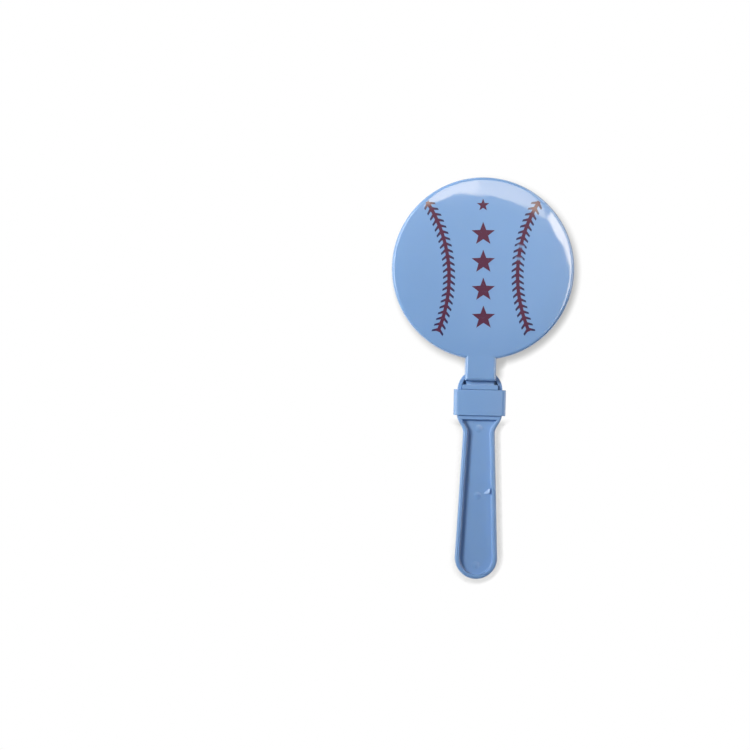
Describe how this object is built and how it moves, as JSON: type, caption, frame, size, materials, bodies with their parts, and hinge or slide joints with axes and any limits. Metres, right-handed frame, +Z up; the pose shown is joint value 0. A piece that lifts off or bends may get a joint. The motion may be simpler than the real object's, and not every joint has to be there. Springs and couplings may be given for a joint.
{
  "type": "hand clapper",
  "caption": "Hand-held clapper: round dished outer paddles swing on film hinges against a centre paddle with a handle, and a collar locks their feet.",
  "frame": {"origin": "under the middle of the part, on the surface that its rear face lies on", "axes": "+Y from the grip to the top of the paddles, +Z up out of the front face, +X across"},
  "size_m": [0.127, 0.28, 0.0273],
  "materials": {
    "blue_plastic": "glossy injection-moulded light blue polypropylene",
    "red_ink": "dark red screen-printed ink"
  },
  "bodies": {
    "handle": {"centre_paddle": "blue_plastic", "collar": "blue_plastic", "front_foot": "blue_plastic", "rear_foot": "blue_plastic"},
    "front": {"front_paddle": "blue_plastic", "front_hinge_film": "blue_plastic", "seam_print": "red_ink", "star_print": "red_ink"},
    "rear": {"rear_paddle": "blue_plastic", "rear_hinge_film": "blue_plastic"}
  },
  "joints": [
    {"name": "front_hinge", "type": "hinge", "parent": "handle", "child": "front", "pos_m": [0, -0.00305, 0.01915], "axis": [1, 0, 0], "range_deg": [0, 30], "deforming": ["front_hinge_film"]},
    {"name": "rear_hinge", "type": "hinge", "parent": "handle", "child": "rear", "pos_m": [0, -0.00305, 0.00805], "axis": [-1, 0, 0], "range_deg": [0, 30], "deforming": ["rear_hinge_film"]}
  ]
}
